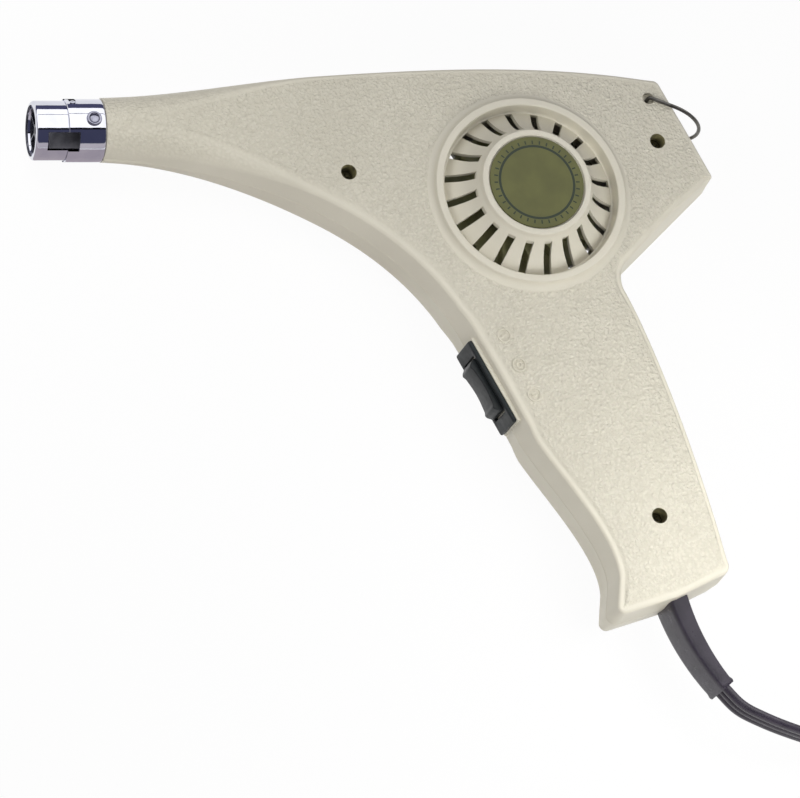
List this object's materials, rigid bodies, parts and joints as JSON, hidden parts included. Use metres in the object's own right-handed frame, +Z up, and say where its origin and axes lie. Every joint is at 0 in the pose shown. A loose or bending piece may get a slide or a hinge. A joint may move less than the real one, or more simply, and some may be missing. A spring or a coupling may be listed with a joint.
{
  "type": "embossing heat tool",
  "caption": "pistol-shaped cream heat gun lying on its side, with a chrome nozzle, a round blower inlet, a rocker switch in the grip, a wire hang loop and a coiled flat cord",
  "frame": {"origin": "on the nozzle's axis where its rolled lip meets the straight sleeve", "axes": "+X runs back along the nozzle's axis, +Y away from the handle's toe, +Z up across the tool as it lies on its side"},
  "size_m": [0.3791, 0.2371, 0.0424],
  "materials": {
    "cream_plastic": "pebbled cream moulding",
    "label_gold": "olive anodised disc",
    "zinc_steel": "zinc plated",
    "dark_wire": "dark spring wire",
    "chrome": "bright plated sheet",
    "heat_steel": "plain sheet steel",
    "mica": "mica sheet",
    "nichrome": "oxidised resistance wire",
    "bimetal_case": "fired case",
    "fan_plastic": "dark moulding",
    "laminations": "stacked laminations",
    "enamelled_copper": "enamelled copper wire",
    "copper": "copper bars",
    "magnet": "ferrite",
    "bronze": "sintered bronze",
    "white_plastic": "moulded cap",
    "black_rubber": "soft moulding",
    "circuit_board": "phenolic board",
    "switch_black": "black moulding",
    "tinned_brass": "tinned blades",
    "cord_rubber": "purple grey flat cord"
  },
  "bodies": {
    "housing": {"left_shell": "cream_plastic", "right_shell": "cream_plastic", "label_disc": "label_gold", "housing_screws": "zinc_steel", "nozzle_collar": "chrome", "collar_rivets": "chrome", "heater_tube": "heat_steel", "mica_liner": "mica", "heater_core": "mica", "heating_coil": "nichrome", "heater_end_plate": "mica", "thermal_cutout": "bimetal_case", "motor_can": "heat_steel", "motor_magnets": "magnet", "motor_end_cap": "white_plastic", "motor_brushes": "laminations", "motor_bushes": "bronze", "motor_mount_ring": "black_rubber", "rectifier_board": "circuit_board", "rectifier_diodes": "fan_plastic", "switch_body": "switch_black", "switch_pivot": "zinc_steel", "switch_terminals": "tinned_brass", "strain_relief": "cord_rubber", "cord_clamp": "fan_plastic", "clamp_screws": "zinc_steel", "cord_lead": "cord_rubber", "cord_coil": "cord_rubber", "cord_tail": "cord_rubber", "plug_body": "cord_rubber", "plug_pins": "tinned_brass"},
    "fan": {"impeller": "fan_plastic", "motor_shaft": "zinc_steel", "armature_core": "laminations", "armature_winding": "enamelled_copper", "commutator": "copper"},
    "rocker": {"switch_rocker": "switch_black"},
    "bail": {"hang_bail": "dark_wire"},
    "sleeve": {"nozzle_sleeve": "chrome", "nozzle_spider": "heat_steel"}
  },
  "joints": [
    {"name": "fan_spin", "type": "hinge", "parent": "housing", "child": "fan", "pos_m": [0.1645, -0.027, 0], "axis": [0, 0, 1], "continuous": true},
    {"name": "rocker_tilt", "type": "hinge", "parent": "housing", "child": "rocker", "pos_m": [0.14845, -0.09069, 0], "axis": [0, 0, 1], "range_deg": [-9, 9]},
    {"name": "bail_swing", "type": "hinge", "parent": "housing", "child": "bail", "pos_m": [0.2111, 0.007, 0], "axis": [0, 0, 1], "range_deg": [-14, 160]},
    {"name": "sleeve_twist", "type": "hinge", "parent": "housing", "child": "sleeve", "pos_m": [0, 0, 0], "axis": [1, 0, 0], "range_deg": [-22, 0]}
  ]
}
